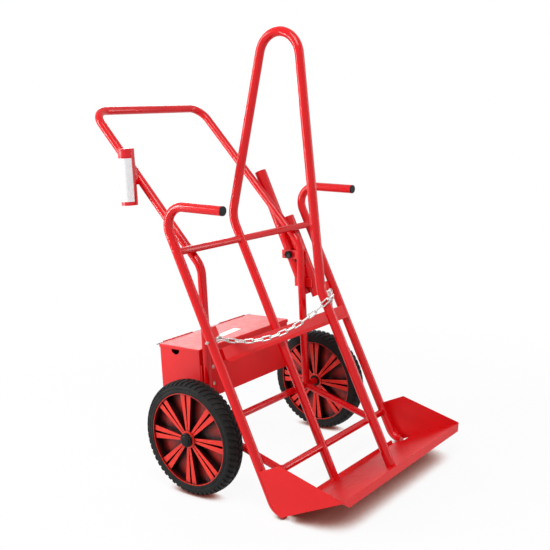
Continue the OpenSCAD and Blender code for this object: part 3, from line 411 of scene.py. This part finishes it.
def spinRing(ring, steps, centre):  # traces a closed outline and spins it round the axle's direction
    bpy.ops.object.select_all(action="DESELECT")
    bpy.ops.mesh.primitive_plane_add(size=workSet["seed"], location=(0, 0, 0))
    piece = bpy.context.object
    bpy.ops.object.mode_set(mode="EDIT")
    bpy.ops.mesh.select_mode(type="VERT")
    bpy.ops.mesh.select_all(action="SELECT")
    bpy.ops.mesh.merge(type="CENTER")
    bpy.ops.transform.translate(value=ring[0])
    here = ring[0]
    for there in ring[1:] + [ring[0]]:
        bpy.ops.mesh.extrude_region_move(TRANSFORM_OT_translate={"value": there - here})
        here = there
    bpy.ops.mesh.select_all(action="SELECT")
    bpy.ops.mesh.remove_doubles(threshold=workSet["mergeGap"])
    bpy.ops.mesh.spin(steps=steps, angle=2 * math.pi, center=centre, axis=(1, 0, 0))
    bpy.ops.mesh.select_all(action="SELECT")
    bpy.ops.mesh.remove_doubles(threshold=workSet["mergeGap"])
    return piece


def finishPiece(piece, name, replaced, body, slotName, angle=workSet["smoothAngle"],
                finishName=None, even=False):
    pickOnly(piece)
    piece.name = name
    bpy.ops.object.transform_apply(location=True, rotation=True, scale=True)
    bpy.ops.object.shade_smooth_by_angle(angle=math.radians(angle))
    if even:
        facing = piece.modifiers.new("evenFaces", "WEIGHTED_NORMAL")
        facing.keep_sharp = True
        bpy.ops.object.modifier_apply(modifier=facing.name)
    piece.data.materials.clear()
    piece.data.materials.append(finishes[finishName or slotFinish[slotName]])
    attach(piece, body)
    for nodeName in replaced:
        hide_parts(nodeName)


# Pressed and moulded pieces keep their CAD shape and get rounded edges
softSet = {
    "widths": {
        "foot_plate": 0.0009, "left_cheek": 0.0008, "right_cheek": 0.0008, "mid_bar": 0.0008,
        "box_knuckles": 0.0005, "lid_knuckles": 0.0005,
        "left_box_bracket": 0.0007, "right_box_bracket": 0.0007,
        "rod_plate_upper": 0.0007, "rod_plate_lower": 0.0007,
        "left_chain_plate": 0.0006, "right_chain_plate": 0.0006,
        "document_pad": 0.0006, "grip_plugs": 0.0022,
        "inner_washers": 0.0004, "outer_washers": 0.0004,
        "box_bolts": 0.0004, "box_nuts": 0.0004, "eye_nuts": 0.0004,
        "document_cap": 0.0016, "left_rim": 0.0011, "right_rim": 0.0011,
    },
    "sheets": (
        "foot_plate", "left_cheek", "right_cheek", "mid_bar", "left_box_bracket", "right_box_bracket",
        "rod_plate_upper", "rod_plate_lower", "left_chain_plate", "right_chain_plate",
    ),
    # the inner washers take the painted shade steel
    "finishes": {"inner_washers": "washerShadeSteel"},
    "mergeGap": 0.000008,
    "flatAngle": 0.2,
    "edgeAngle": 32,
}

# Cheeks: their rear edges stand just ahead of the rails' middle lines, for a weld along them
cheekSet = {
    "nodes": ("left_cheek", "right_cheek"),
    "rearBand": 0.03,
    "faceBand": 0.001,
    "trim": 0.008,
    "beadX": 0.3896,
    "beadStep": 0.004,
}
leanY, leanZ = lineSet["lean"]
cheekForward = Vector((0, -leanZ, leanY))
cheekRear = []


def trimCheek(piece):
    bpy.ops.mesh.select_mode(type="VERT")
    bpy.ops.mesh.select_all(action="DESELECT")
    cells = bmesh.from_edit_mesh(piece.data)
    onRail = Vector((0, *lineSet["topCross"]))
    for corner in cells.verts:
        corner.select_set((corner.co - onRail).dot(cheekForward) < cheekSet["rearBand"])
    cells.select_flush_mode()
    bmesh.update_edit_mesh(piece.data)
    bpy.ops.transform.translate(value=cheekForward * cheekSet["trim"])
    cells = bmesh.from_edit_mesh(piece.data)
    outer = max(abs(corner.co.x) for corner in cells.verts) - cheekSet["faceBand"]
    rear = [corner.co.copy() for corner in cells.verts if corner.select and abs(corner.co.x) > outer]
    cheekRear.append(sorted(rear, key=lambda point: point.z))


def softenNode(nodeName, width):
    piece = copyPiece(nodes[nodeName])
    for key in list(piece.keys()):  # the copy drops the CAD node's own marks
        del piece[key]
    piece.parent = None
    pickOnly(piece)
    bpy.ops.mesh.customdata_custom_splitnormals_clear()
    bpy.ops.object.mode_set(mode="EDIT")
    bpy.ops.mesh.select_all(action="SELECT")
    bpy.ops.mesh.remove_doubles(threshold=softSet["mergeGap"])
    bpy.ops.mesh.dissolve_limited(angle_limit=math.radians(softSet["flatAngle"]))
    if nodeName in cheekSet["nodes"]:
        trimCheek(piece)
    bpy.ops.object.mode_set(mode="OBJECT")
    softenEdges(piece, width, softSet["edgeAngle"])
    finishName = "sheetPaint" if nodeName in softSet["sheets"] else softSet["finishes"].get(nodeName)
    finishPiece(piece, nodeName + "_soft", [nodeName], nodeBody[nodeName], nodeSlot[nodeName],
                finishName=finishName, even=True)


for nodeName, edgeWidth in softSet["widths"].items():
    softenNode(nodeName, edgeWidth)
print("soft edges done:", len(softSet["widths"]))

# Tool box and lid: sheet folded from one blank each, with rounded folds
boxSet = {
    "sheet": 0.002,
    "fold": 0.0024,
    "foldSteps": 4,
    "edge": 0.0004,
    "edgeAngle": 50,
    "notchRadius": 0.019,
    "notchSteps": 64,
    "notchDepth": 0.02,
    "notchBack": 0.6,
    "notchDrop": 0.010,
}


def foldSheet(low, high, openSides):
    bpy.ops.object.select_all(action="DESELECT")
    bpy.ops.mesh.primitive_cube_add(size=1, location=(low + high) / 2)
    piece = bpy.context.object
    piece.scale = high - low
    bpy.ops.object.transform_apply(location=True, rotation=True, scale=True)
    bpy.ops.object.mode_set(mode="EDIT")
    bpy.ops.mesh.select_mode(type="FACE")
    bpy.ops.mesh.select_all(action="DESELECT")
    cells = bmesh.from_edit_mesh(piece.data)
    for cell in cells.faces:
        facings = [cell.normal.dot(Vector(side)) for side in openSides]
        cell.select_set(max(facings) > workSet["facing"])
    bmesh.update_edit_mesh(piece.data)
    bpy.ops.mesh.delete(type="FACE")
    bpy.ops.mesh.select_mode(type="EDGE")
    bpy.ops.mesh.select_all(action="DESELECT")
    cells = bmesh.from_edit_mesh(piece.data)
    for crease in cells.edges:
        crease.select_set(len(crease.link_faces) == 2)
    bmesh.update_edit_mesh(piece.data)
    bpy.ops.mesh.bevel(offset=boxSet["fold"], segments=boxSet["foldSteps"], affect="EDGES")
    bpy.ops.object.mode_set(mode="OBJECT")
    sheet = piece.modifiers.new("sheet", "SOLIDIFY")
    sheet.thickness = boxSet["sheet"]
    sheet.offset = -1
    bpy.ops.object.modifier_apply(modifier=sheet.name)
    return piece


def boxAround(*names):
    corners = [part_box(name) for name in names]
    low = Vector([min(corner[0][axis] for corner in corners) for axis in range(3)])
    high = Vector([max(corner[1][axis] for corner in corners) for axis in range(3)])
    return low, high


boxLow, boxHigh = boxAround("tool_box", "box_ends")
foldedBox = foldSheet(boxLow, boxHigh, [(0, 0, 1)])
notchY = boxLow.y + boxSet["notchBack"] * (boxHigh.y - boxLow.y)
notchZ = boxHigh.z - boxSet["notchDrop"]
bpy.ops.object.select_all(action="DESELECT")
bpy.ops.mesh.primitive_cylinder_add(vertices=boxSet["notchSteps"], radius=boxSet["notchRadius"],
                                    depth=boxSet["notchDepth"], location=(boxLow.x, notchY, notchZ),
                                    rotation=(0, math.pi / 2, 0))
notchCutter = bpy.context.object
pickOnly(foldedBox)
notch = foldedBox.modifiers.new("notch", "BOOLEAN")
notch.operation = "DIFFERENCE"
notch.object = notchCutter
bpy.ops.object.modifier_apply(modifier=notch.name)
bpy.data.objects.remove(notchCutter)
softenEdges(foldedBox, boxSet["edge"], boxSet["edgeAngle"])
finishPiece(foldedBox, "foldedBox", ["tool_box", "box_ends"], "frame", "frame_red",
            finishName="sheetPaint", even=True)
lidLow, lidHigh = boxAround("box_lid", "lid_skirt")
foldedLid = foldSheet(lidLow, lidHigh, [(0, 0, -1), (0, 1, 0)])
softenEdges(foldedLid, boxSet["edge"], boxSet["edgeAngle"])
finishPiece(foldedLid, "foldedLid", ["box_lid", "lid_skirt"], "lid", "frame_red",
            finishName="sheetPaint", even=True)
print("box and lid folded")

# Clamp knob: a turned blank with pressed flutes, dished face and neck
knobSet = {
    "lobes": 7,
    "pitch": 6,
    "flutes": {3: 0.80, 2: 0.86, 4: 0.86, 1: 0.95, 5: 0.95},  # place in the pitch, share of the radius
    "headShare": 2 / 3,
    "neck": 0.6,
    "rim": 0.004,
    "dish": 0.0016,
    "edge": 0.0009,
    "edgeAngle": 40,
}
knobLow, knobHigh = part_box("clamp_knob")
knobMiddle = (knobLow + knobHigh) / 2
knobRadius = (knobHigh.y - knobLow.y) / 2
knobLong = knobHigh.x - knobLow.x
headLong = knobLong * knobSet["headShare"]
knobSteps = knobSet["lobes"] * knobSet["pitch"]
bpy.ops.object.select_all(action="DESELECT")
bpy.ops.mesh.primitive_cylinder_add(vertices=knobSteps, radius=knobRadius, depth=headLong,
                                    location=(knobLow.x + headLong / 2, knobMiddle.y, knobMiddle.z),
                                    rotation=(0, math.pi / 2, 0))
knob = bpy.context.object
bpy.ops.object.transform_apply(location=True, rotation=True, scale=True)
bpy.ops.object.mode_set(mode="EDIT")
for flute, shrink in knobSet["flutes"].items():
    bpy.ops.mesh.select_mode(type="VERT")
    bpy.ops.mesh.select_all(action="DESELECT")
    cells = bmesh.from_edit_mesh(knob.data)
    for corner in cells.verts:
        turn = math.atan2(corner.co.z - knobMiddle.z, corner.co.y - knobMiddle.y)
        step = round(turn / (2 * math.pi) * knobSteps)
        corner.select_set(step % knobSet["pitch"] == flute)
    cells.select_flush_mode()
    bmesh.update_edit_mesh(knob.data)
    bpy.ops.transform.resize(value=(1, shrink, shrink), center_override=knobMiddle)
bpy.ops.mesh.select_mode(type="FACE")
neckInset = knobRadius * (1 - knobSet["neck"])
for facing, inset, push in ((-1, knobSet["rim"], -knobSet["dish"]), (1, neckInset, 0)):
    bpy.ops.mesh.select_all(action="DESELECT")
    cells = bmesh.from_edit_mesh(knob.data)
    for cell in cells.faces:
        cell.select_set(cell.normal.x * facing > workSet["facing"])
    bmesh.update_edit_mesh(knob.data)
    bpy.ops.mesh.inset(thickness=inset, depth=push)
bpy.ops.mesh.extrude_region_move(TRANSFORM_OT_translate={"value": (knobLong - headLong, 0, 0)})
bpy.ops.object.mode_set(mode="OBJECT")
softenEdges(knob, knobSet["edge"], knobSet["edgeAngle"])
finishPiece(knob, "flutedKnob", ["clamp_knob"], "frame", nodeSlot["clamp_knob"])
print("knob done")

# Axle caps: a stepped profile spun once, then copied to the other side
capSet = {
    "profile": [  # radius and height above the washer, mm
        (10.0, 0.0), (22.6, 0.0), (23.6, 0.5), (24.0, 1.4), (24.0, 7.4), (23.4, 8.8), (22.0, 9.6),
        (19.6, 9.9), (18.9, 9.3), (18.2, 9.3), (17.6, 10.2), (17.0, 12.2), (15.8, 13.3), (13.6, 13.8),
        (9.0, 14.0), (0.0, 14.0), (0.0, 10.2), (10.0, 10.2),
    ],
    "tall": 14.0,
    "steps": 72,
    "smoothAngle": 30,
}
axleY, axleZ = lineSet["axle"]


def makeCap():
    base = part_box("axle_caps")[0].x + capSet["tall"] / mmPerMetre
    ring = []
    for radius, height in capSet["profile"]:
        ring.append(Vector((base - height / mmPerMetre, axleY, axleZ + radius / mmPerMetre)))
    cap = spinRing(ring, capSet["steps"], (0, axleY, axleZ))
    bpy.ops.mesh.dissolve_degenerate()
    bpy.ops.mesh.select_all(action="SELECT")
    bpy.ops.mesh.normals_make_consistent(inside=False)
    bpy.ops.object.mode_set(mode="OBJECT")
    return cap


leftCap = makeCap()
rightCap = copyPiece(leftCap)
rightCap.rotation_euler.z = math.pi
rightCap.location = (0, 2 * axleY, 0)
pickOnly(rightCap)
bpy.ops.object.transform_apply(location=True, rotation=True, scale=True)
leftCap.select_set(True)
bpy.context.view_layer.objects.active = leftCap
bpy.ops.object.join()
finishPiece(leftCap, "steppedCaps", ["axle_caps"], nodeBody["axle_caps"], nodeSlot["axle_caps"],
            capSet["smoothAngle"])
print("caps done")

# Tyres: one half profile each way, slanted and spun, then two cells of three raised as a lug
tyreSet = {
    "middle": (-0.3745, *lineSet["axle"]),
    "profile": [  # distance from the middle plane and radius, mm
        (28.0, 161.7), (28.0, 165.8), (32.2, 165.9), (32.2, 160.8), (32.7, 160.2), (33.4, 160.5),
        (33.8, 161.6), (33.9, 164.0), (33.6, 167.4), (32.9, 170.4), (32.4, 172.0), (32.9, 174.6),
        (32.9, 178.6), (32.3, 182.0), (30.9, 185.0), (28.6, 187.8), (25.4, 191.0), (21.0, 193.8),
        (15.0, 195.8), (8.0, 196.7), (1.4, 196.9),
    ],
    "lugs": 56,
    "lugCells": 3,
    "leftLug": (0, 1),
    "rightLug": (1, 2),
    "slant": 0.55,
    "slantOver": 198.0,
    "lugRows": (2.0, 30.4),
    "lugFloor": 185.4,
    "lugHeight": 0.0031,
    "lugDraft": 0.0010,
    "smoothAngle": 28,
    "copyAcross": 0.749,
}


def tyrePoint(across, radius):
    lag = tyreSet["slant"] * abs(across) / tyreSet["slantOver"]
    return Vector((across, radius * math.sin(lag), radius * math.cos(lag))) / mmPerMetre


def cellOf(centre, steps):
    lag = tyreSet["slant"] * abs(centre.x) * mmPerMetre / tyreSet["slantOver"]
    around = math.atan2(centre.y, centre.z) - lag
    return math.floor(around / (2 * math.pi / steps)) % tyreSet["lugCells"]


def makeTyre():
    half = [tyrePoint(-across, radius) for across, radius in tyreSet["profile"]]
    other = [tyrePoint(across, radius) for across, radius in reversed(tyreSet["profile"])]
    steps = tyreSet["lugCells"] * tyreSet["lugs"]
    tyre = spinRing(half + other, steps, (0, 0, 0))
    bpy.ops.mesh.normals_make_consistent(inside=False)
    bpy.ops.mesh.select_mode(type="FACE")
    low, high = tyreSet["lugRows"]
    cells = bmesh.from_edit_mesh(tyre.data)
    for cell in cells.faces:
        centre = cell.calc_center_median()
        across = abs(centre.x) * mmPerMetre
        radius = math.hypot(centre.y, centre.z) * mmPerMetre
        kept = tyreSet["leftLug"] if centre.x < 0 else tyreSet["rightLug"]
        onTread = low < across < high and radius > tyreSet["lugFloor"]
        cell.select_set(onTread and cellOf(centre, steps) in kept)
    bmesh.update_edit_mesh(tyre.data)
    bpy.ops.mesh.inset(thickness=tyreSet["lugDraft"], depth=tyreSet["lugHeight"],
                       use_boundary=True)
    bpy.ops.mesh.select_all(action="SELECT")
    bpy.ops.transform.translate(value=tyreSet["middle"])
    bpy.ops.object.mode_set(mode="OBJECT")
    return tyre


leftTyre = makeTyre()
rightTyre = copyPiece(leftTyre)
rightTyre.location.x += tyreSet["copyAcross"]
finishPiece(leftTyre, "leftTread", ["left_tyre"], "left_wheel", "tyre_rubber",
            tyreSet["smoothAngle"])
finishPiece(rightTyre, "rightTread", ["right_tyre"], "right_wheel", "tyre_rubber",
            tyreSet["smoothAngle"])
print("tyres done with", tyreSet["lugs"], "lugs a row")

# Weld beads where tube meets tube, and along the cheeks
beadSet = {
    "thick": 0.0021,
    "roundness": 2,
    "ripple": 0.16,
    "rippleTurn": 2.1,
    "ringSteps": 54,
    "halfSteps": 27,
    "smoothAngle": 60,
    "railX": 0.374,
    "loopX": -0.045,
    "railRadius": 0.016,
    "crossRadius": 0.0125,
    "axleRadius": 0.013,
    "legRadius": 0.015,
}
beadRopes = []


def layBead(points, closed=True):
    rope = bpy.data.curves.new("beadRope", "CURVE")
    rope.dimensions = "3D"
    rope.bevel_depth = beadSet["thick"]
    rope.bevel_resolution = beadSet["roundness"]
    rope.use_fill_caps = True
    spline = rope.splines.new("POLY")
    spline.points.add(len(points) - 1)
    for index, point in enumerate(points):
        spline.points[index].co = (point.x, point.y, point.z, 1)
        swell = math.sin(index * beadSet["rippleTurn"])
        spline.points[index].radius = 1 + beadSet["ripple"] * swell
    spline.use_cyclic_u = closed
    bead = bpy.data.objects.new("beadRope", rope)
    scene.collection.objects.link(bead)
    pickOnly(bead)
    bpy.ops.object.convert(target="MESH")
    beadRopes.append(bpy.context.object)


def saddle(middle, along, run, bigRadius, smallRadius, closed=True):
    across = along.cross(run)
    count = beadSet["ringSteps"] if closed else beadSet["halfSteps"]
    points = []
    for index in range(count):
        turn = 2 * math.pi * index / count if closed else math.pi * index / (count - 1)
        aside = smallRadius * math.cos(turn)
        rise = smallRadius * math.sin(turn)
        reach = math.sqrt(max(bigRadius ** 2 - aside ** 2, 0))
        points.append(middle + run * reach + across * aside + along * rise)
    return points


lean = Vector((0, *lineSet["lean"]))
xAxis = Vector((1, 0, 0))
zAxis = Vector((0, 0, 1))
for crossY, crossZ in (lineSet["topCross"], lineSet["lowCross"]):
    for tubeX, run in ((-beadSet["railX"], xAxis), (beadSet["loopX"], -xAxis),
                       (beadSet["loopX"], xAxis), (beadSet["railX"], -xAxis)):
        middle = Vector((tubeX, crossY, crossZ))
        layBead(saddle(middle, lean, run, beadSet["railRadius"], beadSet["crossRadius"]))
for strutName in ("left_strut", "right_strut"):
    strutLow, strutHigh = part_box(strutName)
    strutX = (strutLow.x + strutHigh.x) / 2
    axleEnd = Vector((strutX, *lineSet["axle"]))
    crossEnd = Vector((strutX, *lineSet["lowCross"]))
    slope = (crossEnd - axleEnd).normalized()
    layBead(saddle(axleEnd, xAxis, slope, beadSet["axleRadius"], beadSet["crossRadius"]))
    layBead(saddle(crossEnd, xAxis, -slope, beadSet["crossRadius"], beadSet["crossRadius"]))
    for run in (xAxis, -xAxis):
        half = saddle(axleEnd, zAxis, run, beadSet["legRadius"], beadSet["axleRadius"], False)
        layBead(half, False)
for rear in cheekRear:  # up the rear edge of each cheek
    points = []
    for start, end in zip(rear[:-1], rear[1:]):
        count = max(round((end - start).length / cheekSet["beadStep"]), 1)
        points += [start.lerp(end, index / count) for index in range(count)]
    points.append(rear[-1])
    for point in points:
        point.x = math.copysign(cheekSet["beadX"], point.x)
    layBead(points, False)
bpy.ops.object.select_all(action="DESELECT")
for bead in beadRopes:
    bead.select_set(True)
bpy.context.view_layer.objects.active = beadRopes[0]
bpy.ops.object.join()
finishPiece(bpy.context.object, "weldBeads", [], "frame", "frame_red", beadSet["smoothAngle"])
print("weld beads laid:", len(beadRopes))
